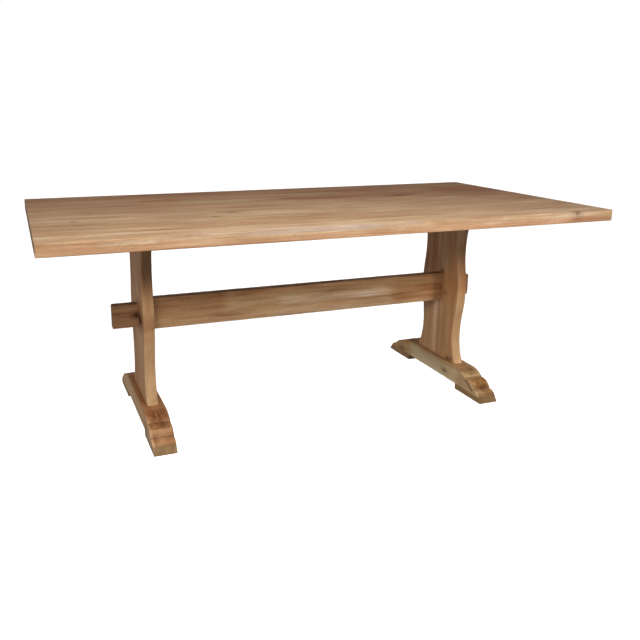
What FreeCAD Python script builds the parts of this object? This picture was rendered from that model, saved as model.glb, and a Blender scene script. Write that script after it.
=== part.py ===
import FreeCAD, Part
import math
import os
from FreeCAD import Vector

# A trestle dining table in solid wood. Lengths are in millimetres.
# X runs along the top, Y across it (the front is -Y) and Z up.
# The origin is on the floor, under the middle of the top.

# The table as a whole
table_height = 760.0
trestle_spacing = 1268.0  # from the middle of one trestle to the middle of the other

# Top of boards glued edge to edge
top_length = 2000.0
top_width = 1000.0
top_thickness = 40.0
top_arris_radius = 2.5
top_corner_margin = 1.5  # the corners' radius beyond the arris's, so that the arris rolls round them
top_lower_arris_radius = 2.0
board_width_shares = (0.132, 0.132, 0.131, 0.130, 0.140, 0.125, 0.105, 0.105)  # back to front

# Loose tongues in the joints between the boards
tongue_thickness = 8.0
tongue_width = 24.0
tongue_end_margin = 60.0

# Bearers across the heads of the legs, bevelled towards their ends
bearer_end_margin = 100.0  # from the front or back edge of the top
bearer_width = 80.0
bearer_height = 40.0
bearer_end_height = 18.0
bearer_bevel_length = 120.0
bearer_web = 15.0  # wood left above the screw pockets

# Legs, each of a back and a front stave, with a wavy outline
leg_thickness = 40.0
leg_base_width = 288.0
leg_waist_width = 228.0
leg_belly_width = 270.0
leg_neck_width = 236.0
leg_head_width = 280.0
leg_waist_height_share = 0.387  # of the way from the foot up to the belly
leg_neck_height_share = 0.59  # of the way from the belly up to the head
leg_arris_radius = 7.0

# Tenons on the staves' ends, into the feet and the bearers
leg_tenon_thickness = 20.0
leg_tenon_inset = 22.0  # from the joint between the staves
leg_tenon_shoulder = 27.0  # from the outer edge of the leg, at its narrower end

# Dowels across the joint between two staves
stave_dowel_diameter = 10.0
stave_dowel_length = 60.0
stave_dowel_height_shares = (0.25, 0.75)

# Feet with three rounded steps at each end
foot_length = 710.0
foot_width = 80.0
foot_height = 90.0
foot_flat_length = 370.0
foot_arris_radius = 2.0
# Each step's start and end: share of the run beyond the flat, share of the height above the pad
foot_step_shares = (
    ((0.0, 1.0), (0.37, 0.71)),
    ((0.43, 0.65), (0.70, 0.28)),
    ((0.76, 0.22), (0.90, 0.0)),
)

# Floor pads under the ends of the feet
pad_length = 172.0
pad_thickness = 24.0
pad_arris_radius = 1.5

# Stretcher between the legs, with shouldered through tenons
stretcher_height = 115.0
stretcher_thickness = 40.0
stretcher_underside = 333.0  # above the floor
stretcher_upper_shoulder = 16.0
stretcher_lower_shoulder = 14.0
stretcher_side_shoulder = 3.0
stretcher_arris_radius = 3.0
tenon_projection = 90.0  # beyond the leg
tenon_end_chamfer = 2.0

# Dowels through the stretcher's tenons, housed in both staves
lock_dowel_diameter = 12.0
lock_dowel_housing = 24.0  # depth in each stave
lock_dowel_height_shares = (0.3, 0.7)

# Coach screws that hold the feet and the bearers on the legs
coach_shank_diameter = 8.0
coach_length = 90.0
coach_tip_length = 8.0
coach_head_flats = 13.0
coach_head_height = 5.5
coach_washer_diameter = 16.0
coach_washer_thickness = 1.6
coach_sink = 8.5  # depth of the counterbore
coach_seat_wood = 17.0  # left between the counterbore and the leg's tenon

# Pan-head screws that hold the top on the bearers, in slots across the top
top_screw_diameter = 5.0
top_screw_length = 38.0
top_screw_tip_length = 5.0
top_screw_head_diameter = 9.5
top_screw_head_height = 3.2
top_washer_diameter = 15.0
top_washer_thickness = 1.2
top_screw_travel = 8.0  # how far a screw can slide in its slot
top_screw_margin = 20.0  # from the leg's head or the bearer's end

# Countersunk screws through the floor pads
pad_screw_diameter = 5.0
pad_screw_length = 40.0
pad_screw_tip_length = 5.0
pad_screw_head_diameter = 10.0
pad_screw_head_height = 2.8
pad_screw_sink = 1.5
pad_screw_place_shares = (0.16, 0.53)  # of the pad's length, from its inner end

# Fits
joint_clearance = 0.15  # round tenons, tongues, dowels and shanks
end_gap = 0.3  # beyond the end of a tenon, dowel or screw
washer_clearance = 1.0  # round a washer in its counterbore
cut_overrun = 5.0
match_tolerance = 0.001
direction_tolerance_share = 0.001

# Sizes and places that several pieces share
top_underside = table_height - top_thickness
top_corner_radius = top_arris_radius + top_corner_margin
bearer_length = top_width - 2 * bearer_end_margin
leg_head_height = top_underside - bearer_height
leg_tenon_width = min(leg_base_width, leg_head_width) / 2 - leg_tenon_inset - leg_tenon_shoulder
leg_screw_offset = leg_tenon_inset + leg_tenon_width / 2
coach_seat_in_foot = pad_thickness + coach_sink
coach_seat_in_bearer = top_underside - coach_sink
foot_tenon_end = coach_seat_in_foot + coach_seat_wood + end_gap
bearer_tenon_end = coach_seat_in_bearer - coach_seat_wood - end_gap
tenon_thickness = stretcher_thickness - 2 * stretcher_side_shoulder
tenon_low = stretcher_underside + stretcher_lower_shoulder
tenon_high = stretcher_underside + stretcher_height - stretcher_upper_shoulder
lock_dowel_length = tenon_thickness + 2 * lock_dowel_housing
top_screw_seat = top_underside - bearer_web
trestles = (("left", -trestle_spacing / 2), ("right", trestle_spacing / 2))
ends = (("back", 1), ("front", -1))


def box(low, high):
    size = high - low
    return Part.makeBox(size.x, size.y, size.z, low)


def upright_rod(radius, low, high):
    return Part.makeCylinder(radius, high - low, Vector(0, 0, low))


def cross_rod(radius, length, middle):
    """A round rod along Y."""
    return Part.makeCylinder(radius, length, middle - Vector(0, length / 2, 0), Vector(0, 1, 0))


def moved(shape, place):
    return shape.translated(place)


def turned_over(shape):
    return shape.rotated(Vector(0, 0, 0), Vector(1, 0, 0), 180)


def line(start, end):
    return Part.LineSegment(start, end).toShape()


def arc(start, middle, end):
    return Part.Arc(start, middle, end).toShape()


def upright_arc(start, end):
    """An arc in the YZ plane that leaves its start upright."""
    rise = end.z - start.z
    run = end.y - start.y
    radius = (rise**2 + run**2) / (2 * run)
    half_turn = math.atan(run / rise)
    middle = start + Vector(0, radius * (1 - math.cos(half_turn)), radius * math.sin(half_turn))
    return arc(start, middle, end)


def level_arc(start, end):
    """An arc in the YZ plane that leaves its start level."""
    rise = end.z - start.z
    run = end.y - start.y
    radius = (rise**2 + run**2) / (2 * rise)
    half_turn = math.atan(rise / run)
    middle = start + Vector(0, radius * math.sin(half_turn), radius * (1 - math.cos(half_turn)))
    return arc(start, middle, end)


def slab(edges, thickness, middle_x):
    """A plate of the given YZ outline, its thickness along X."""
    outline = Part.Wire(Part.__sortEdges__(edges))
    plate = Part.Face(outline).extrude(Vector(thickness, 0, 0))
    return moved(plate, Vector(middle_x - thickness / 2, 0, 0))


def mirrored_in_y(edges):
    return [edge.mirror(Vector(0, 0, 0), Vector(0, 1, 0)) for edge in edges]


def edges_where(shape, test):
    return [edge for edge in shape.Edges if all(test(vertex.Point) for vertex in edge.Vertexes)]


def edges_at_height(shape, height):
    return edges_where(shape, lambda point: abs(point.z - height) < match_tolerance)


def edges_along(shape, direction):
    least = 1 - direction_tolerance_share
    return [edge for edge in shape.Edges if abs(edge.tangentAt(edge.FirstParameter).dot(direction)) > least]


def climbing_edges(shape):
    return [edge for edge in shape.Edges if abs(edge.Vertexes[0].Z - edge.Vertexes[-1].Z) > match_tolerance]


def slot(width, travel, low, high):
    """An upright slot, round at both ends, that runs along Y."""
    half = Vector(0, travel / 2, 0)
    side = width / 2
    middle = box(Vector(-side, -travel / 2, low), Vector(side, travel / 2, high))
    rod = upright_rod(side, low, high)
    return middle.fuse([moved(rod, half), moved(rod, -half)]).removeSplitter()


def washer(diameter, hole_diameter, thickness):
    """A washer whose upper face is at the height of the origin."""
    ring = upright_rod(diameter / 2, -thickness, 0)
    return ring.cut(upright_rod(hole_diameter / 2, -thickness - cut_overrun, cut_overrun))


def pointed_shank(diameter, low, high, tip_length):
    shank = upright_rod(diameter / 2, low, high - tip_length)
    tip = Part.makeCone(diameter / 2, 0, tip_length, Vector(0, 0, high - tip_length))
    return shank.fuse(tip)


# Coach screws: each points up from the seat of its washer, which is at the origin

def coach_screw():
    under_head = -coach_washer_thickness
    radius = coach_head_flats / math.sqrt(3)
    corners = [Vector(radius, 0, under_head)]
    for sixth in range(6):
        angle = math.radians(60 * (sixth + 1))
        corners.append(Vector(radius * math.cos(angle), radius * math.sin(angle), under_head))
    head = Part.Face(Part.makePolygon(corners)).extrude(Vector(0, 0, -coach_head_height))
    shank = pointed_shank(coach_shank_diameter, under_head, coach_length, coach_tip_length)
    return head.fuse(shank).removeSplitter()


def coach_washer():
    return washer(coach_washer_diameter, coach_shank_diameter + 2 * joint_clearance, coach_washer_thickness)


def coach_hole():
    hole = upright_rod(coach_shank_diameter / 2 + joint_clearance, -cut_overrun, coach_length + end_gap)
    counterbore = upright_rod(coach_washer_diameter / 2 + washer_clearance, -coach_sink - cut_overrun, 0)
    return hole.fuse(counterbore)


def coach_places(seat_height):
    return [Vector(x, side * leg_screw_offset, seat_height) for _, x in trestles for _, side in ends]


# Screws of the top: each points up from the ceiling of its pocket, which is at the origin

def top_screw():
    under_head = -top_washer_thickness
    head = upright_rod(top_screw_head_diameter / 2, under_head - top_screw_head_height, under_head)
    shank = pointed_shank(top_screw_diameter, under_head, top_screw_length, top_screw_tip_length)
    return head.fuse(shank).removeSplitter()


def top_washer():
    return washer(top_washer_diameter, top_screw_diameter + 2 * joint_clearance, top_washer_thickness)


def top_screw_pilot():
    return upright_rod(top_screw_diameter / 2 + joint_clearance, 0, top_screw_length + end_gap)


def top_screw_slot():
    """Slot through the bearer's web, with the washer's pocket under it."""
    width = top_screw_diameter + 2 * joint_clearance
    pocket_width = top_washer_diameter + 2 * washer_clearance
    through = slot(width, top_screw_travel, -cut_overrun, bearer_web + cut_overrun)
    pocket = slot(pocket_width, top_screw_travel, -bearer_height, 0)
    return through.fuse(pocket)


def board_edges():
    """Where the boards meet along Y, from the back edge of the top to the front."""
    total = sum(board_width_shares)
    edges = [top_width / 2]
    for share in board_width_shares:
        edges.append(edges[-1] - top_width * share / total)
    return edges


def top_screw_places():
    """The middle of each board that a bearer reaches beside its leg."""
    edges = board_edges()
    nearest = leg_head_width / 2 + top_screw_margin
    furthest = bearer_length / 2 - top_screw_margin
    middles = [(back + front) / 2 for back, front in zip(edges, edges[1:])]
    reached = [y for y in middles if nearest < abs(y) < furthest]
    return [Vector(x, y, top_screw_seat) for _, x in trestles for y in reached]


# Screws of the floor pads: each points up from the pad's underside, which is at the origin

def pad_screw():
    head_top = pad_screw_sink + pad_screw_head_height
    head_radius = pad_screw_head_diameter / 2
    place = Vector(0, 0, pad_screw_sink)
    head = Part.makeCone(head_radius, pad_screw_diameter / 2, pad_screw_head_height, place)
    tip = pad_screw_sink + pad_screw_length
    shank = pointed_shank(pad_screw_diameter, head_top, tip, pad_screw_tip_length)
    return head.fuse(shank).removeSplitter()


def pad_screw_hole():
    head_radius = pad_screw_head_diameter / 2 + joint_clearance
    shank_radius = pad_screw_diameter / 2 + joint_clearance
    mouth = upright_rod(head_radius, -cut_overrun, pad_screw_sink)
    place = Vector(0, 0, pad_screw_sink)
    sink = Part.makeCone(head_radius, shank_radius, pad_screw_head_height, place)
    shank = upright_rod(shank_radius, 0, pad_screw_sink + pad_screw_length + end_gap)
    return mouth.fuse([sink, shank])


def pad_screw_places(x, side):
    inner_end = foot_length / 2 - pad_length
    return [Vector(x, side * (inner_end + share * pad_length), 0) for share in pad_screw_place_shares]


def group(shape, places):
    """Like pieces as separate solids of one node."""
    return Part.makeCompound([moved(shape, place) for place in places])


# Top

def tongue_strip(y, clearance):
    half_length = top_length / 2 - tongue_end_margin + clearance
    half_width = tongue_width / 2 + clearance
    half_thickness = tongue_thickness / 2 + clearance
    middle = Vector(0, y, table_height - top_thickness / 2)
    reach = Vector(half_length, half_width, half_thickness)
    return box(middle - reach, middle + reach)


def top_blank():
    reach = Vector(top_length / 2, top_width / 2, 0)
    blank = box(Vector(0, 0, top_underside) - reach, Vector(0, 0, table_height) + reach)
    blank = blank.makeFillet(top_corner_radius, edges_along(blank, Vector(0, 0, 1)))
    blank = blank.makeFillet(top_arris_radius, edges_at_height(blank, table_height))
    return blank.makeFillet(top_lower_arris_radius, edges_at_height(blank, top_underside))


def top_boards():
    edges = board_edges()
    grooves = [tongue_strip(y, joint_clearance) for y in edges[1:-1]]
    pilots = [moved(top_screw_pilot(), place) for place in top_screw_places()]
    blank = top_blank()
    reach = top_length / 2 + cut_overrun
    boards = []
    for back, front in zip(edges, edges[1:]):
        low = Vector(-reach, front, top_underside - cut_overrun)
        high = Vector(reach, back, table_height + cut_overrun)
        boards.append(blank.common(box(low, high)).cut(grooves + pilots))
    return boards


def top_loose_tongues():
    return Part.makeCompound([tongue_strip(y, 0) for y in board_edges()[1:-1]])


# Trestles

def leg_tenon(x, side, low, high, clearance):
    half = leg_tenon_thickness / 2 + clearance
    near = side * (leg_tenon_inset - clearance)
    far = side * (leg_tenon_inset + leg_tenon_width + clearance)
    return box(Vector(x - half, min(near, far), low), Vector(x + half, max(near, far), high))


def top_bearer(x):
    half = bearer_length / 2
    half_flat = half - bearer_bevel_length
    end_underside = top_underside - bearer_end_height
    points = [
        Vector(0, half, top_underside),
        Vector(0, half, end_underside),
        Vector(0, half_flat, leg_head_height),
        Vector(0, -half_flat, leg_head_height),
        Vector(0, -half, end_underside),
        Vector(0, -half, top_underside),
    ]
    edges = [line(start, end) for start, end in zip(points, points[1:] + points[:1])]
    bearer = slab(edges, bearer_width, x)
    cuts = [moved(top_screw_slot(), place) for place in top_screw_places()]
    hole = turned_over(coach_hole())
    cuts += [moved(hole, place) for place in coach_places(coach_seat_in_bearer)]
    mortise_top = bearer_tenon_end + end_gap
    for _, side in ends:
        cuts.append(leg_tenon(x, side, leg_head_height - cut_overrun, mortise_top, joint_clearance))
    return bearer.cut(cuts)


def leg_outline():
    """Edges of a leg's outline in the YZ plane."""
    belly_height = (tenon_low + tenon_high) / 2
    waist_height = foot_height + leg_waist_height_share * (belly_height - foot_height)
    neck_height = belly_height + leg_neck_height_share * (leg_head_height - belly_height)
    base = Vector(0, leg_base_width / 2, foot_height)
    waist = Vector(0, leg_waist_width / 2, waist_height)
    belly = Vector(0, leg_belly_width / 2, belly_height)
    neck = Vector(0, leg_neck_width / 2, neck_height)
    head = Vector(0, leg_head_width / 2, leg_head_height)
    under_belly = (waist + belly) / 2
    over_belly = (belly + neck) / 2
    side = [
        upright_arc(waist, base),
        upright_arc(waist, under_belly),
        upright_arc(belly, under_belly),
        upright_arc(belly, over_belly),
        upright_arc(neck, over_belly),
        upright_arc(neck, head),
    ]
    across = [line(point, Vector(0, -point.y, point.z)) for point in (base, head)]
    return side + mirrored_in_y(side) + across


def stave_dowel_places(x):
    places = []
    for low, high in ((foot_height, tenon_low), (tenon_high, leg_head_height)):
        for share in stave_dowel_height_shares:
            places.append(Vector(x, 0, low + share * (high - low)))
    return places


def lock_dowel_places(x):
    rise = tenon_high - tenon_low
    return [Vector(x, 0, tenon_low + share * rise) for share in lock_dowel_height_shares]


def dowel_hole(diameter, length, place):
    return cross_rod(diameter / 2 + joint_clearance, length + 2 * end_gap, place)


def stretcher_mortise(x):
    reach = leg_thickness / 2 + cut_overrun
    half = tenon_thickness / 2 + joint_clearance
    low = Vector(x - reach, -half, tenon_low - joint_clearance)
    high = Vector(x + reach, half, tenon_high + joint_clearance)
    return box(low, high)


def leg_staves(x):
    """The back and the front stave of the leg at x."""
    leg = slab(leg_outline(), leg_thickness, x)
    rounded = [edge for edge in leg.Edges if isinstance(edge.Curve, Part.Circle)]
    leg = leg.makeFillet(leg_arris_radius, rounded)
    cuts = [stretcher_mortise(x)]
    for place in stave_dowel_places(x):
        cuts.append(dowel_hole(stave_dowel_diameter, stave_dowel_length, place))
    for place in lock_dowel_places(x):
        cuts.append(dowel_hole(lock_dowel_diameter, lock_dowel_length, place))
    cuts += [moved(coach_hole(), place) for place in coach_places(coach_seat_in_foot)]
    hole = turned_over(coach_hole())
    cuts += [moved(hole, place) for place in coach_places(coach_seat_in_bearer)]
    reach = leg.BoundBox
    staves = []
    for _, side in ends:
        low = Vector(reach.XMin, min(0, side * reach.YMax), reach.ZMin)
        high = Vector(reach.XMax, max(0, side * reach.YMax), reach.ZMax)
        stave = leg.common(box(low, high))
        tenons = [leg_tenon(x, side, foot_tenon_end, foot_height, 0)]
        tenons.append(leg_tenon(x, side, leg_head_height, bearer_tenon_end, 0))
        staves.append(stave.fuse(tenons).removeSplitter().cut(cuts))
    return staves


def foot_end_outline():
    """Edges of the stepped back end of a foot, from the flat on top down to the pad."""
    half_flat = foot_flat_length / 2
    run = (foot_length - foot_flat_length) / 2
    rise = foot_height - pad_thickness
    edges = []
    last = None
    for shares in foot_step_shares:
        start, end = [Vector(0, half_flat + y * run, pad_thickness + z * rise) for y, z in shares]
        if last is not None:
            corner = Vector(0, last.y, start.z)
            edges += [line(last, corner), line(corner, start)]
        edges.append(level_arc(start, end))
        last = end
    return edges


def foot_toe():
    """Where the stepped end of a foot meets its pad."""
    run = (foot_length - foot_flat_length) / 2
    return foot_flat_length / 2 + foot_step_shares[-1][-1][0] * run


def foot(x):
    end = foot_end_outline()
    half_flat = foot_flat_length / 2
    flat = line(Vector(0, -half_flat, foot_height), Vector(0, half_flat, foot_height))
    sole = line(Vector(0, -foot_toe(), pad_thickness), Vector(0, foot_toe(), pad_thickness))
    beam = slab(end + mirrored_in_y(end) + [flat, sole], foot_width, x)
    sides = (x - foot_width / 2, x + foot_width / 2)
    arrises = []
    for side in sides:
        outline = edges_where(beam, lambda point: abs(point.x - side) < match_tolerance)
        arrises += [edge for edge in outline if edge.CenterOfMass.z > pad_thickness + match_tolerance]
    beam = beam.makeFillet(foot_arris_radius, arrises)
    cuts = [moved(coach_hole(), place) for place in coach_places(coach_seat_in_foot)]
    mortise_floor = foot_tenon_end - end_gap
    for _, side in ends:
        cuts.append(leg_tenon(x, side, mortise_floor, foot_height + cut_overrun, joint_clearance))
        cuts += [moved(pad_screw_hole(), place) for place in pad_screw_places(x, side)]
    return beam.cut(cuts)


def foot_pad(x, side):
    inner = foot_length / 2 - pad_length
    points = [
        Vector(0, side * inner, 0),
        Vector(0, side * foot_length / 2, 0),
        Vector(0, side * foot_toe(), pad_thickness),
        Vector(0, side * inner, pad_thickness),
    ]
    edges = [line(start, end) for start, end in zip(points, points[1:] + points[:1])]
    pad = slab(edges, foot_width, x)
    pad = pad.makeFillet(pad_arris_radius, climbing_edges(pad))
    return pad.cut([moved(pad_screw_hole(), place) for place in pad_screw_places(x, side)])


# Stretcher

def stretcher():
    half = (trestle_spacing - leg_thickness) / 2
    half_thickness = stretcher_thickness / 2
    low = Vector(-half, -half_thickness, stretcher_underside)
    high = Vector(half, half_thickness, stretcher_underside + stretcher_height)
    body = box(low, high)
    body = body.makeFillet(stretcher_arris_radius, edges_along(body, Vector(1, 0, 0)))
    half_length = half + leg_thickness + tenon_projection
    low = Vector(-half_length, -tenon_thickness / 2, tenon_low)
    high = Vector(half_length, tenon_thickness / 2, tenon_high)
    tenons = box(low, high)
    tips = edges_where(tenons, lambda point: point.x > half)
    tips += edges_where(tenons, lambda point: point.x < -half)
    tenons = tenons.makeChamfer(tenon_end_chamfer, tips)
    cuts = []
    for _, x in trestles:
        for place in lock_dowel_places(x):
            cuts.append(dowel_hole(lock_dowel_diameter, lock_dowel_length, place))
    return body.fuse(tenons).removeSplitter().cut(cuts)


# The nodes, named as a joiner would name them
nodes = {}
for number, board in enumerate(top_boards(), start=1):
    nodes[f"top_board_{number}"] = board
nodes["top_loose_tongues"] = top_loose_tongues()
nodes["top_fixing_screws"] = group(top_screw(), top_screw_places())
nodes["top_fixing_washers"] = group(top_washer(), top_screw_places())
nodes["bearer_coach_screws"] = group(turned_over(coach_screw()), coach_places(coach_seat_in_bearer))
nodes["bearer_washers"] = group(turned_over(coach_washer()), coach_places(coach_seat_in_bearer))
nodes["foot_coach_screws"] = group(coach_screw(), coach_places(coach_seat_in_foot))
nodes["foot_washers"] = group(coach_washer(), coach_places(coach_seat_in_foot))
nodes["stretcher"] = stretcher()
stave_dowels = []
lock_dowels = []
pad_screws = []
for hand, x in trestles:
    nodes[f"{hand}_top_bearer"] = top_bearer(x)
    nodes[f"{hand}_foot"] = foot(x)
    for (end, side), stave in zip(ends, leg_staves(x)):
        nodes[f"{hand}_leg_{end}_stave"] = stave
        nodes[f"{hand}_foot_{end}_pad"] = foot_pad(x, side)
        pad_screws += [moved(pad_screw(), place) for place in pad_screw_places(x, side)]
    for place in stave_dowel_places(x):
        stave_dowels.append(cross_rod(stave_dowel_diameter / 2, stave_dowel_length, place))
    for place in lock_dowel_places(x):
        lock_dowels.append(cross_rod(lock_dowel_diameter / 2, lock_dowel_length, place))
nodes["leg_stave_dowels"] = Part.makeCompound(stave_dowels)
nodes["stretcher_lock_dowels"] = Part.makeCompound(lock_dowels)
nodes["foot_pad_screws"] = Part.makeCompound(pad_screws)

os.makedirs("parts", exist_ok=True)
for name, shape in nodes.items():
    shape.exportStep(f"parts/{name}.step")
    print(f"{name}: {len(shape.Solids)} solids, valid {shape.isValid()}, {shape.Volume:.0f} mm3")
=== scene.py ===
import math

import bpy
import bmesh
from mathutils import Matrix, Vector


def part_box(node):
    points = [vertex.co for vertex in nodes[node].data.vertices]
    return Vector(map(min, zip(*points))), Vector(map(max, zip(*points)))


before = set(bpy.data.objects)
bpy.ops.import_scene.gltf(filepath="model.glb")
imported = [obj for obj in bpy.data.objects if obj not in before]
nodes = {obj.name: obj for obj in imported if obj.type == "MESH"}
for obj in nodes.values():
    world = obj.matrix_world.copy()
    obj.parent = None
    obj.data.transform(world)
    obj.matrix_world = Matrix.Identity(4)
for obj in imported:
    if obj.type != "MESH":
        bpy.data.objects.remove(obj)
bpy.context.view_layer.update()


# Legs. Each leg is a slab of two oiled hardwood staves, planed and glued edge to edge, then sawn
# to its wavy outline and eased by hand along the edges. The grain runs upright, the joint is at y = 0,
# and pale sapwood was left on the edge of some staves.


class Socket:
    """One output of a shader node, so that shader maths reads as Python sums."""

    def __init__(self, tree, output=None):
        self.tree = tree
        self.output = output

    def node(self, kind, settings=None, sockets=None, output=0):
        """Adds a node: its settings first, then the values or links of its sockets."""
        made = self.tree.nodes.new(kind)
        for key, value in (settings or {}).items():
            if key == "stops":
                elements = made.color_ramp.elements
                for position, colour in value[len(elements):]:
                    elements.new(position)
                for element, (position, colour) in zip(elements, value):
                    element.position = position
                    element.color = colour
            else:
                setattr(made, key, value)
        for key, value in (sockets or {}).items():
            if isinstance(value, Socket):
                self.tree.links.new(value.output, made.inputs[key])
            else:
                made.inputs[key].default_value = value
        return Socket(self.tree, made.outputs[output] if made.outputs else None)

    def math(self, operation, *values):
        return self.node("ShaderNodeMath", {"operation": operation}, dict(enumerate(values)))

    def parts(self):
        split = self.node("ShaderNodeSeparateXYZ", None, {0: self}).output.node
        return {axis.lower(): Socket(self.tree, split.outputs[axis]) for axis in "XYZ"}

    def __add__(self, other):
        return self.math("ADD", self, other)

    def __sub__(self, other):
        return self.math("SUBTRACT", self, other)

    def __rsub__(self, other):
        return self.math("SUBTRACT", other, self)

    def __mul__(self, other):
        return self.math("MULTIPLY", self, other)

    def __truediv__(self, other):
        return self.math("DIVIDE", self, other)

    def __abs__(self):
        return self.math("ABSOLUTE", self)

    def at_least(self, other):
        return self.math("MAXIMUM", self, other)

    def root(self):
        return self.math("SQRT", self)

    def fraction(self):
        return self.math("FRACT", self)

    def fade(self, full, gone):
        """1 where the value is at full or past it, 0 at gone, and smooth between them."""
        sockets = {"Value": self, "From Min": gone, "From Max": full}
        return self.node("ShaderNodeMapRange", {"interpolation_type": "SMOOTHSTEP"}, sockets)

    def mix(self, first, second, blend="MIX"):
        """first where this is 0 and second where it is 1."""
        settings = {"data_type": "RGBA", "blend_type": blend}
        return self.node("ShaderNodeMix", settings, {0: self, 6: first, 7: second}, 2)

    __radd__ = __add__
    __rmul__ = __mul__


def paint(red, green, blue):
    """A colour given in the usual 0 to 255 steps, as the linear values that shaders take."""
    steps = [part / 255 for part in (red, green, blue)]
    linear = [part / 12.92 if part <= 0.04045 else ((part + 0.055) / 1.055) ** 2.4 for part in steps]
    return (*linear, 1.0)


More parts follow.
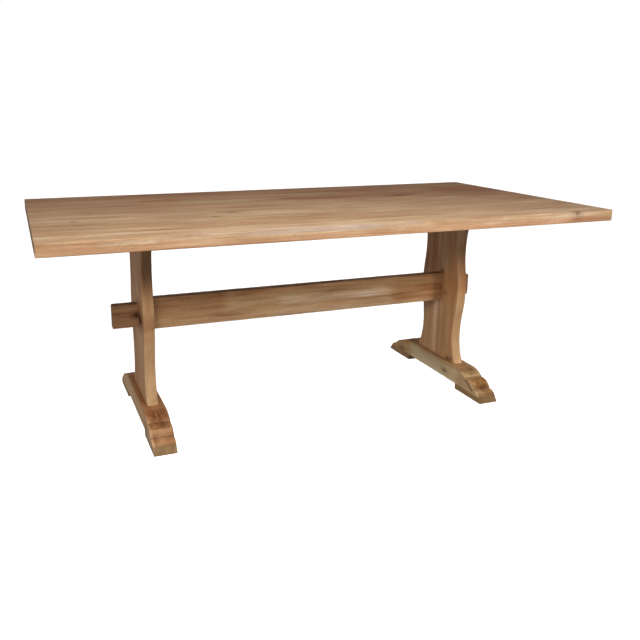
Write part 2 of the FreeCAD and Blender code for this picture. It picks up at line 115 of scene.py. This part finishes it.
def timber(piece, axes, seed, pith, wood, tone=0.0, red=0.5, knots_and_shade_spots=(), streaks=(), joints=()):
    """Oiled solid wood cut from a log: growth rings round the pith, fibres and pores along the grain.

    axes names the directions along the grain, across the face and through the piece. seed picks the
    stretch of log, and pith is where its heart lies from the middle of the piece, across and through.
    wood tells how bold the fine figure and the patches are, how pale the edges are rubbed, the blush
    of its redder parts, and its colours from dark to light. tone makes the piece lighter, red redder.
    knots_and_shade_spots are (x, y, z, half length, half width, darkness): knots, and on some pieces
    dark spots of painted shade. streaks are (from, to, across, half width, through, half depth,
    lighter, redder): streaks of colour, bands of painted shade and painted light on some pieces, and
    bleached sapwood where they take red well below zero. joints are lines across. All places are the
    table's own, in metres.
    """
    material = bpy.data.materials.new(piece + "_wood")
    material.use_nodes = True
    material.node_tree.nodes.clear()
    start = Socket(material.node_tree)
    place = start.node("ShaderNodeTexCoord", output="Object").parts()
    facing = start.node("ShaderNodeTexCoord", output="Normal").parts()
    along, across, through = (place[axis] for axis in axes)
    low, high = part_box(piece)
    middle = (low + high) / 2
    stretch_of_log = 7.31
    log_offset = stretch_of_log * seed
    length = along + log_offset
    side = across - middle["xyz".index(axes[1])]
    depth = through - middle["xyz".index(axes[2])]

    def cloud(lengthwise, crosswise, detail=2.0):
        """Soft blotches of these sizes in metres, about 0 and mostly within 0.5 of it."""
        where = start.node("ShaderNodeCombineXYZ", None,
                           {0: length / lengthwise, 1: side / crosswise, 2: depth / crosswise})
        sockets = {"Vector": where, "Scale": 1.0, "Detail": detail}
        return start.node("ShaderNodeTexNoise", None, sockets) * 2 - 1

    # The grain wanders, and parts round each knot and painted shade spot as water does round a stone.
    wander_reach = 0.018
    ripple_reach = 0.0025
    wander_through = 0.6
    streak_wander = 0.5
    streak_ripple = 2
    wander = cloud(0.9, 0.12, detail=1.0) * wander_reach
    ripple = cloud(0.17, 0.03, detail=1.0) * ripple_reach
    line = across + wander * streak_wander + ripple * streak_ripple
    side = side + wander + ripple
    depth = depth + wander * wander_through
    spot_depth = 2
    spot_softness = 0.2
    dark_centre = 0.0
    halo = 0.0
    for *spot, half_length, half_width, darkness in knots_and_shade_spots:
        spot_along, spot_across, spot_through = (spot["xyz".index(axis)] for axis in axes)
        run = (along - spot_along) / half_length
        off = (across - spot_across + ripple) / half_width
        below = (through - spot_through) / (half_width * spot_depth)
        square = run * run + off * off + below * below
        side = side - off * half_width / (square + spot_softness)
        reach = square.root()
        dark_centre = (reach.fade(full=0.5, gone=1.2) * darkness).at_least(dark_centre)
        halo = (reach.fade(full=0.8, gone=3.0) * darkness).at_least(halo)

    # Growth rings, then figure from broad bands down to fibres and pores.
    ring_width = 0.0052
    ring_waver = 40
    steepest_slope = 0.035
    slope_turn = 2.4
    slope = steepest_slope * math.cos(seed * slope_turn)
    heart_side = side - pith[0]
    heart_depth = depth - pith[1] + length * slope - log_offset * slope
    radius = (heart_side * heart_side + heart_depth * heart_depth).root()
    rings = (radius / ring_width + wander * ring_waver).fraction()
    late_wood = rings * rings * rings
    bands = cloud(1.9, 0.036)
    strands = cloud(0.2, 0.006, detail=3.0)
    fibres = cloud(0.10, 0.0013)
    flecks = cloud(0.1, 0.0035, detail=1.0).fade(full=0.62, gone=0.34)
    patches = cloud(0.26, 0.032)
    pores = cloud(0.012, 0.0006, detail=0.0).fade(full=0.52, gone=0.3)
    shimmer = cloud(0.022, 0.05, detail=1.0)
    blush = cloud(0.75, 0.03)

    # How light each spot is, from the figure and the streaks; some streaks are painted shade and some
    # painted light.
    middle_light = 0.5
    band_light, strand_light, fibre_light, shimmer_light = 0.2, 0.3, 0.13, 0.035
    late_wood_dark, fleck_dark = 0.08, 0.2
    streak_body, streak_strands = 0.8, 0.8
    streak_taper = 0.7
    light = (bands * band_light + strands * strand_light + fibres * fibre_light
             - late_wood * late_wood_dark - flecks * fleck_dark)
    light = (middle_light + tone + light * wood["figure"] + patches * wood["patches"]
             + shimmer * shimmer_light)
    for first, last, where, half_width, layer, half_depth, lighter, redder in streaks:
        half = (last - first) / 2
        lengthwise = abs(along - (first + half)).fade(full=half * streak_taper, gone=half)
        off = (line - where) / half_width
        below = (through - layer) / half_depth
        streak = lengthwise * (off * off + below * below).root().fade(full=0.35, gone=1.0)
        light = light + streak * (streak_body + strands * streak_strands) * lighter
        red = red + streak * redder

    # Colour from the light, then blush, sapwood, pores, knots and painted shade spots, and glue lines
    # over it.
    blush_mean, blush_spread = 0.55, 0.9
    sapwood_below = -0.3
    sapwood_bleach = (0.92, 1.0, 1.3, 1.0)
    pore_brown, pore_strength = paint(66, 40, 22), 0.45
    halo_brown, halo_strength = paint(120, 70, 40), 0.6
    centre_brown = paint(48, 26, 14)
    glue_brown, glue_strength = paint(62, 38, 22), 0.6
    stop_step = 0.2
    stops = [(stop_step * step, paint(*colour)) for step, colour in enumerate(wood["colours"])]
    colour = start.node("ShaderNodeValToRGB", {"stops": stops}, {0: light})
    blush_share = (blush_mean + blush * blush_spread) * red
    colour = blush_share.mix(colour, paint(*wood["blush"]), "MULTIPLY")
    if streaks:
        colour = (sapwood_below - red).at_least(0).mix(colour, sapwood_bleach, "MULTIPLY")
    colour = (pores * pore_strength).mix(colour, pore_brown)
    if knots_and_shade_spots:
        colour = (halo * halo_strength).mix(colour, halo_brown, "MULTIPLY")
        colour = dark_centre.mix(colour, centre_brown)
    for joint in joints:
        glue_line = abs(across - joint).fade(full=0.0002, gone=0.0009)
        colour = (glue_line * glue_strength).mix(colour, glue_brown)

    # Eased edges are rubbed paler and smoother, and end grain drinks the oil and goes dark.
    worn_edge = paint(222, 190, 154)
    end_shade, end_strength = paint(150, 138, 132), 0.63
    tilt = abs(facing[axes[2]])
    arris = tilt * (1 - tilt * tilt).at_least(0).root() * 2
    end_grain = abs(facing[axes[0]]).fade(full=0.95, gone=0.4)
    colour = (arris * (1 + strands) * wood["wear"]).mix(colour, worn_edge)
    colour = (end_grain * end_strength).mix(colour, end_shade, "MULTIPLY")
    satin, fibre_rough, pore_rough, arris_smooth, end_rough = 0.5, 0.12, 0.15, 0.08, 0.12
    roughness = (satin + fibres * fibre_rough + pores * pore_rough
                 - arris * arris_smooth + end_grain * end_rough)
    fibre_height, ring_height, pore_depth = 0.35, 0.3, 0.8
    height = fibres * fibre_height + late_wood * ring_height - pores * pore_depth
    bump = start.node("ShaderNodeBump", None, {"Strength": 0.25, "Distance": 0.0005, "Height": height})
    surface = start.node("ShaderNodeBsdfPrincipled", None, {
        "Base Color": colour, "Roughness": roughness, "Normal": bump, "Specular IOR Level": 0.35})
    start.node("ShaderNodeOutputMaterial", None, {"Surface": surface})
    nodes[piece].material_slots[0].material = material


trestle_wood = {
    "figure": 0.3, "patches": 0.3, "wear": 0.1, "blush": (236, 184, 128),
    "colours": ((104, 67, 40), (142, 99, 65), (170, 129, 91),
                (191, 152, 110), (207, 172, 132), (224, 195, 160)),
}
leg_axes = "zyx"
leg_joint = (0.0,)
# On both left staves the darker, redder streak from z 0.46 up is painted shade where the top shades
# the leg.
timber("left_leg_back_stave", leg_axes, seed=1, pith=(0.05, 0.08), wood=trestle_wood, joints=leg_joint,
       streaks=((0.46, 0.9, 0.06, 0.12, -0.634, 0.08, -0.1, 0.3),))
timber("left_leg_front_stave", leg_axes, seed=2, pith=(-0.03, 0.09), wood=trestle_wood,
       tone=0.02, red=0.3, joints=leg_joint,
       # Beside the left tenon the dark knots are drawn large to take in the tenon's shadow, so they
       # are partly knots and partly painted shadow, and the streak at z 0.33 to 0.47 is painted shadow
       # of the tenon on the leg.
       knots_and_shade_spots=((-0.654, -0.064, 0.388, 0.020, 0.040, 0.75),
              (-0.654, -0.050, 0.396, 0.007, 0.026, 1.0),
              (-0.654, -0.074, 0.380, 0.007, 0.026, 1.0)),
       streaks=((0.46, 0.9, -0.06, 0.12, -0.634, 0.08, -0.16, 0.3),
                (0.33, 0.47, -0.04, 0.07, -0.654, 0.02, -0.2, 0.4),
                (0.05, 0.33, -0.13, 0.04, -0.634, 0.06, 0.09, -0.4),
                (0.0, 0.26, -0.06, 0.06, -0.654, 0.03, 0.06, 0.2)))
timber("right_leg_back_stave", leg_axes, seed=3, pith=(0.06, -0.07), wood=trestle_wood,
       tone=0.15, red=0.62, joints=leg_joint,
       streaks=((-0.1, 0.42, 0.009, 0.028, 0.614, 0.03, 0.44, 0.0),
                (0.5, 0.74, 0.012, 0.008, 0.614, 0.02, 0.35, 0.0),
                # Painted shade under the top: the upper back stave darker and redder.
                (0.4, 0.9, 0.07, 0.09, 0.614, 0.08, -0.08, 0.5)))
timber("right_leg_front_stave", leg_axes, seed=4, pith=(-0.02, 0.1), wood=trestle_wood,
       tone=0.13, red=0.75, joints=leg_joint,
       knots_and_shade_spots=((0.614, -0.090, 0.097, 0.007, 0.010, 0.6),
              (0.614, -0.114, 0.100, 0.006, 0.007, 0.5),
              # A dark spot where the stretcher's top meets the leg.
              (0.614, -0.016, 0.457, 0.008, 0.009, 0.55),
              (0.614, -0.046, 0.370, 0.008, 0.010, 0.25)),
       streaks=((-0.1, 0.4, -0.13, 0.03, 0.634, 0.05, 0.04, -0.6),
                (0.38, 0.56, -0.13, 0.03, 0.634, 0.05, -0.14, 0.0),
                # Painted shadow of the stretcher's end on the leg's inner face.
                (0.32, 0.46, -0.022, 0.014, 0.614, 0.012, -0.16, 0.3),
                # Painted warm bounce light: the upper front stave, in the top's shade, made lighter
                # and redder.
                (0.55, 0.9, -0.13, 0.04, 0.634, 0.06, 0.18, 0.2)))


# Stave dowels. Beech pins, 10 mm thick, glued across the joint inside each leg to keep the two
# staves level while the glue sets.

beech_wood = {
    "figure": 0.6, "patches": 0.2, "wear": 0.1, "blush": (232, 172, 138),
    "colours": ((150, 112, 80), (176, 138, 102), (196, 160, 122),
                (210, 176, 138), (220, 190, 154), (230, 204, 170)),
}
dowel_axes = "yzx"
timber("leg_stave_dowels", dowel_axes, seed=5, pith=(0.02, 0.05), wood=beech_wood, red=0.2)


# Stretcher. One plank on edge, shouldered at both ends into tenons that pass through the legs and
# stand proud of them, with a small chamfer round each end.

stretcher_wood = {**trestle_wood, "figure": 0.8, "patches": 0.5}
timber("stretcher", "xzy", seed=6, pith=(0.03, 0.07), wood=stretcher_wood, tone=0.02, red=0.0,
       knots_and_shade_spots=((-0.656, -0.02, 0.391, 0.014, 0.009, 0.7),),
       streaks=((-0.16, 0.42, 0.394, 0.022, -0.02, 0.03, 0.3, -0.5),
                (-0.65, 0.65, 0.338, 0.024, 0.0, 0.05, 0.15, -0.4),
                # Painted shade on the stretcher's top face under the tabletop.
                (-1.0, 1.0, 0.453, 0.009, 0.0, 0.06, -0.5, 0.3),
                (-0.78, -0.62, 0.39, 0.07, 0.0, 0.06, -0.17, 0.2),
                # Painted shade along the top of the left tenon, next to the leg.
                (-0.8, -0.64, 0.437, 0.008, 0.0, 0.06, -0.4, 0.2),
                (-0.64, -0.3, 0.42, 0.05, -0.02, 0.03, -0.15, 0.5),
                (0.05, 0.62, 0.434, 0.022, -0.02, 0.03, 0.02, 0.5),
                (0.3, 0.9, 0.39, 0.06, -0.02, 0.03, -0.03, 0.55),
                (-0.32, 0.08, 0.437, 0.016, -0.02, 0.03, -0.15, 0.5),
                (-0.68, -0.3, 0.377, 0.02, -0.02, 0.03, -0.13, 0.2),
                (0.36, 0.72, 0.345, 0.02, -0.02, 0.03, -0.2, 0.4),
                (0.16, 0.4, 0.364, 0.012, -0.02, 0.03, 0.15, 0.0),
                (-0.2, 0.44, 0.36, 0.045, -0.02, 0.03, 0.02, -0.4)))


# Lock dowels. Two beech pins through each tenon, driven before the leg was closed, with their ends
# housed blind in the staves.

timber("stretcher_lock_dowels", dowel_axes, seed=7, pith=(0.02, 0.05), wood=beech_wood, red=0.2)


# Feet. A beam under each leg, its ends bandsawn to three rounded steps and sanded. The leg's tenons
# go in from above, and coach screws pull them down from below.

foot_axes = "yzx"
foot_wood = {
    "figure": 0.4, "patches": 0.3, "wear": 0.1, "blush": (236, 184, 128),
    "colours": ((96, 70, 42), (134, 105, 69), (162, 132, 94),
                (184, 157, 117), (201, 177, 138), (218, 197, 162)),
}
timber("left_foot", foot_axes, seed=8, pith=(0.02, -0.09), wood=trestle_wood, tone=0.06, red=0.35,
       # The darker, redder band along the top face is painted shade under the tabletop, and the three
       # short dark bands across the toe's steps are painted shade under each step's nosing.
       streaks=((-0.4, 0.4, 0.094, 0.03, -0.634, 0.07, -0.24, 0.5),
                (-0.5, -0.17, 0.05, 0.08, -0.634, 0.08, -0.22, -0.5),
                (-0.26, -0.17, 0.08, 0.03, -0.624, 0.06, -0.14, 0.1),
                (-0.285, -0.247, 0.066, 0.016, -0.634, 0.07, -0.26, 0.2),
                (-0.331, -0.304, 0.037, 0.012, -0.634, 0.07, -0.16, 0.2),
                (-0.2, 0.36, 0.05, 0.05, -0.674, 0.02, 0.06, -0.3),
                # The pale streak on the outer side of the toe is partly a pale worn edge and partly a
                # painted highlight on that side.
                (-0.36, -0.23, 0.035, 0.04, -0.674, 0.012, 0.35, -0.6)))
timber("right_foot", foot_axes, seed=9, pith=(-0.04, 0.08), wood=foot_wood, tone=0.335, red=0.12,
       knots_and_shade_spots=((0.594, -0.103, 0.050, 0.013, 0.006, 0.5),
              (0.594, 0.247, 0.034, 0.018, 0.009, 0.35),
              # These four dark spots along the edge of the second step are a painted shadow line under
              # that step.
              (0.594, -0.260, 0.060, 0.011, 0.003, 0.55),
              (0.594, -0.274, 0.052, 0.011, 0.003, 0.55),
              (0.594, -0.287, 0.044, 0.011, 0.003, 0.55),
              (0.594, -0.299, 0.036, 0.011, 0.003, 0.55)),
       # The darker, redder band along the top face is painted shade under the tabletop, and the dark
       # bands across the toe's steps are painted shade under each step's nosing.
       streaks=((-0.4, 0.4, 0.094, 0.03, 0.634, 0.07, -0.49, 0.6),
                (-0.5, -0.17, 0.05, 0.08, 0.634, 0.08, -0.38, 0.1),
                (-0.26, -0.18, 0.08, 0.03, 0.644, 0.06, -0.03, -0.5),
                (-0.312, -0.247, 0.06, 0.03, 0.644, 0.06, -0.36, 0.6),
                (-0.35, -0.304, 0.034, 0.016, 0.644, 0.06, -0.22, 0.3),
                (0.14, 0.56, 0.05, 0.06, 0.594, 0.06, -0.15, 1.1)))


# Coach screws and washers of the feet. Zinc-plated steel: hexagon heads forged on the shank, washers
# stamped from sheet, both in counterbores under the feet.

def plated_steel(piece):
    """Bright zinc plate with faint drawn lines and a blotchy sheen."""
    material = bpy.data.materials.new(piece + "_plate")
    material.use_nodes = True
    material.node_tree.nodes.clear()
    start = Socket(material.node_tree)
    place = start.node("ShaderNodeTexCoord", output="Object")
    sheen = start.node("ShaderNodeTexNoise", None, {"Vector": place, "Scale": 260.0, "Detail": 3.0})
    lines = start.node("ShaderNodeTexNoise", None, {"Vector": place, "Scale": 1900.0, "Detail": 1.0})
    zinc_grey, zinc_pale = paint(176, 178, 180), paint(206, 205, 198)
    polish, sheen_rough, line_rough = 0.26, 0.16, 0.1
    colour = sheen.mix(zinc_grey, zinc_pale)
    roughness = polish + sheen * sheen_rough + lines * line_rough
    bump = start.node("ShaderNodeBump", None, {"Strength": 0.1, "Distance": 0.0001, "Height": lines})
    surface = start.node("ShaderNodeBsdfPrincipled", None, {
        "Base Color": colour, "Metallic": 1.0, "Roughness": roughness, "Normal": bump})
    start.node("ShaderNodeOutputMaterial", None, {"Surface": surface})
    nodes[piece].material_slots[0].material = material


plated_steel("foot_coach_screws")
plated_steel("foot_washers")


# Floor pads. A short block screwed under each end of each foot, from offcuts of the same wood, so
# that the foot bridges an uneven floor.

pad_pith = (0.05, 0.06)
pads = (
    ("left_foot_back_pad", 10, -0.14, 0.0),
    ("left_foot_front_pad", 11, -0.12, 0.0),
    ("right_foot_back_pad", 12, -0.2, 0.15),
    ("right_foot_front_pad", 13, -0.25, 0.1),
)
for pad, seed, tone, red in pads:
    timber(pad, foot_axes, seed, pad_pith, foot_wood, tone, red)
plated_steel("foot_pad_screws")


# Bearers. A batten of the same wood across the head of each leg, bevelled up towards its ends and
# pulled down onto the leg's tenons by coach screws with washers. The top is screwed to it.

bearer_axes = "yxz"
timber("left_top_bearer", bearer_axes, seed=14, pith=(0.02, -0.07), wood=trestle_wood)
timber("right_top_bearer", bearer_axes, seed=15, pith=(-0.03, -0.08), wood=trestle_wood)
plated_steel("bearer_coach_screws")
plated_steel("bearer_washers")


# Top. Eight boards glued edge to edge over loose tongues, planed level, then sanded and oiled.
# They were picked from several logs, so they differ in tone.

top_wood = {
    "figure": 1.2, "patches": 0.42, "wear": 0.0, "blush": (232, 172, 138),
    "colours": ((112, 76, 51), (140, 104, 75), (160, 128, 96),
                (174, 145, 112), (190, 164, 133), (212, 193, 170)),
}
top_axes = "xyz"
board_tones = (-0.06, 0.045, -0.02, 0.025, 0.06, 0.055, 0.02, 0.095)
board_reds = (0.6, 0.6, 0.5, 0.4, 0.2, 0.2, 0.3, 0.15)
board_count = len(board_tones)
board_knots = {
    3: ((0.472, 0.115, 0.76, 0.035, 0.014, 0.75),),
    5: ((-0.866, -0.148, 0.76, 0.008, 0.006, 0.6),
        (-0.328, -0.116, 0.76, 0.02, 0.007, 0.55)),
    6: ((-0.405, -0.191, 0.76, 0.01, 0.005, 0.7),),
    8: ((0.84, -0.494, 0.757, 0.014, 0.008, 0.55),),
}
board_streaks = {
    2: ((-0.6, -0.42, 0.26, 0.05, 0.76, 0.05, -0.05, 0.6),
        (-0.1, 0.7, 0.31, 0.05, 0.76, 0.05, -0.07, 0.5),
        (0.7, 1.05, 0.3, 0.08, 0.76, 0.05, -0.08, 0.5)),
    3: ((-0.46, -0.13, 0.18, 0.06, 0.76, 0.05, 0.0, -0.5),
        (-0.1, 0.65, 0.16, 0.05, 0.76, 0.05, -0.08, 0.4),
        (0.65, 1.05, 0.17, 0.07, 0.76, 0.05, -0.08, 0.5)),
    4: ((-1.1, 1.1, 0.08, 0.03, 0.76, 0.05, -0.06, 0.2),
        (0.66, 1.05, 0.0, 0.07, 0.76, 0.05, -0.08, 0.5)),
    5: ((0.72, 1.05, -0.1, 0.06, 0.76, 0.05, -0.06, 0.4),),
    6: ((-0.26, 0.36, -0.172, 0.005, 0.76, 0.01, 0.3, -0.2),),
    8: ((-0.44, 0.08, -0.5, 0.018, 0.755, 0.016, 0.1, -1.3),
        (-0.04, 0.24, -0.5, 0.018, 0.757, 0.014, -0.1, -1.0),
        (-0.84, -0.65, -0.5, 0.018, 0.748, 0.01, 0.15, -0.85),
        (0.5, 0.86, -0.5, 0.018, 0.757, 0.014, 0.07, 0.0),
        (-0.2, 0.16, -0.5, 0.03, 0.746, 0.024, 0.04, 0.0),
        (-1.1, -0.5, -0.503, 0.02, 0.738, 0.03, -0.08, 0.1),
        (0.24, 0.54, -0.5, 0.02, 0.749, 0.012, -0.2, 0.0),
        (0.5, 0.95, -0.46, 0.05, 0.76, 0.04, 0.1, 0.0),
        (-0.14, 0.6, -0.503, 0.02, 0.728, 0.018, 0.14, -0.15),
        (-1.2, 1.2, -0.503, 0.02, 0.728, 0.02, -0.02, 0.5),
        # Painted shade: a thin dark line that dims the highlight on the top arris.
        (-0.95, 1.2, -0.4985, 0.004, 0.7585, 0.004, -0.28, 0.0),
        # Painted shade: a dark line along the lower arris, under the edge.
        (-0.75, -0.12, -0.5, 0.02, 0.72, 0.007, -0.38, 0.0),
        (-0.68, -0.38, -0.5, 0.018, 0.757, 0.012, -0.02, -0.8),
        (-1.15, -0.82, -0.5, 0.02, 0.75, 0.014, 0.08, 0.0),
        (-1.2, -0.8, -0.46, 0.045, 0.765, 0.03, -0.09, 0.0)),
}
seams = [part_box(f"top_board_{number}")[0].y for number in range(1, board_count)]
seam_slack = 0.001
heart_swing, heart_turn = 0.03, 1.9
heart_depth, heart_step = -0.07, 0.01
seed_before_boards = 20
for number in range(1, board_count + 1):
    board = f"top_board_{number}"
    low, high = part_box(board)
    pith = (heart_swing * math.sin(number * heart_turn), heart_depth - heart_step * number)
    edges = [seam for seam in seams if low.y - seam_slack < seam < high.y + seam_slack]
    timber(board, top_axes, seed_before_boards + number, pith, top_wood,
           board_tones[number - 1], board_reds[number - 1],
           board_knots.get(number, ()), board_streaks.get(number, ()), edges)


# Loose tongues. Strips of pale wood in grooves between the boards, short of the ends of the top so
# that they don't show.

timber("top_loose_tongues", top_axes, seed=30, pith=(0.02, 0.06), wood=beech_wood, red=0.1)


# Top screws. Zinc-plated pan-head screws with washers in slotted pockets under the bearers, so that
# the top can swell and shrink across its grain.

plated_steel("top_fixing_screws")
plated_steel("top_fixing_washers")


# Floor and studio light. A plain white floor, soft lights in front, high at the left and beside the
# table, and a glow from the walls and the floor. The floor has a wash of its own, so it stays pale.

floor_half = 400.0
floor_white = (0.9, 0.9, 0.9, 1.0)
floor_roughness = 0.9
floor_mesh = bpy.data.meshes.new("floor")
shape = bmesh.new()
bmesh.ops.create_grid(shape, x_segments=1, y_segments=1, size=floor_half)
shape.to_mesh(floor_mesh)
shape.free()
floor = bpy.data.objects.new("floor", floor_mesh)
bpy.context.scene.collection.objects.link(floor)
floor_paint = bpy.data.materials.new("floor_paint")
floor_paint.use_nodes = True
floor_surface = floor_paint.node_tree.nodes["Principled BSDF"]
floor_surface.inputs["Base Color"].default_value = floor_white
floor_surface.inputs["Roughness"].default_value = floor_roughness
floor_surface.inputs["Specular IOR Level"].default_value = 0.0
floor_mesh.materials.append(floor_paint)
floor.visible_diffuse = False
floor.visible_glossy = False
floor.visible_shadow = False


def lamp(name, kind, place, target, energy, **settings):
    """A white lamp that points at its target and doesn't show in the wood's sheen."""
    light = bpy.data.lights.new(name, kind)
    light.energy = energy
    for key, value in settings.items():
        setattr(light, key, value)
    lamp_object = bpy.data.objects.new(name, light)
    lamp_object.location = place
    direction = Vector(target) - Vector(place)
    lamp_object.rotation_euler = direction.to_track_quat("-Z", "Y").to_euler()
    lamp_object.visible_glossy = False
    bpy.context.scene.collection.objects.link(lamp_object)
    return lamp_object


lamp("front_left", "AREA", place=(-1.3, -2.4, 1.9), target=(0.0, -0.2, 0.5), energy=42.0, size=0.7)
lamp("front_right", "AREA", place=(1.6, -2.4, 1.9), target=(0.0, -0.2, 0.5), energy=48.0, size=0.7)
lamp("high_left", "AREA", place=(-1.2, -1.2, 2.3), target=(0.0, -0.2, 0.7), energy=28.0, size=0.7)
lamp("near_front", "AREA", place=(0.2, -1.1, 1.7), target=(0.0, -0.4, 0.7), energy=10.0, size=0.8)
lamp("left", "AREA", place=(-8.0, -0.6, 0.8), target=(0.0, 0.0, 0.3), energy=138.0, size=3.0)
wash = lamp("floor_wash", "SUN", place=(0.0, 0.0, 4.0), target=(0.0, 0.0, 0.0), energy=3.6,
            use_shadow=False)
floor_only = bpy.data.collections.new("floor_only")
floor_only.objects.link(floor)
wash.light_linking.receiver_collection = floor_only

wall_glow, floor_glow, ceiling_glow = 0.33, 0.16, 0.04
glow_blend = 0.6
backdrop_white = (1.0, 1.0, 1.0, 1.0)
world = bpy.data.worlds.new("studio")
world.use_nodes = True
world.node_tree.nodes.clear()
glow = Socket(world.node_tree)
upwards = glow.node("ShaderNodeTexCoord", output="Generated").parts()["z"]
from_walls = abs(upwards).fade(full=0.0, gone=glow_blend) * wall_glow
from_floor = upwards.fade(full=-glow_blend, gone=0.0) * floor_glow
from_ceiling = upwards.fade(full=glow_blend, gone=0.0) * ceiling_glow
glow_strength = from_walls + from_floor + from_ceiling
sky = glow.node("ShaderNodeCombineXYZ", None, {0: glow_strength, 1: glow_strength, 2: glow_strength})
seen = glow.node("ShaderNodeLightPath", output="Is Camera Ray").mix(sky, backdrop_white)
backdrop = glow.node("ShaderNodeBackground", None, {"Color": seen})
glow.node("ShaderNodeOutputWorld", None, {"Surface": backdrop})
bpy.context.scene.world = world


# Camera. It stands in front of the left end of the table at chest height and looks slightly down,
# with the frame and the focal length of the photograph, both in its pixels.

photo_side = 640
focal_length = 720.401
view_centre = (275.0, 282.639)
sensor = 36.0
heading = math.radians(20.0669)
pitch = math.radians(13.9977)
roll = math.radians(0.1489)
camera_place = (-1.04342, -2.52147, 1.13193)
camera_data = bpy.data.cameras.new("camera")
camera_data.sensor_width = sensor
camera_data.lens = focal_length * sensor / photo_side
camera_data.shift_x = 0.5 - view_centre[0] / photo_side
camera_data.shift_y = view_centre[1] / photo_side - 0.5
camera = bpy.data.objects.new("camera", camera_data)
turn = Matrix.Rotation(-heading, 3, "Z") @ Matrix.Rotation(math.pi / 2 - pitch, 3, "X")
camera.rotation_euler = (turn @ Matrix.Rotation(roll, 3, "Z")).to_euler()
camera.location = camera_place
bpy.context.scene.collection.objects.link(camera)
bpy.context.scene.camera = camera
bpy.context.scene.view_settings.view_transform = "Standard"
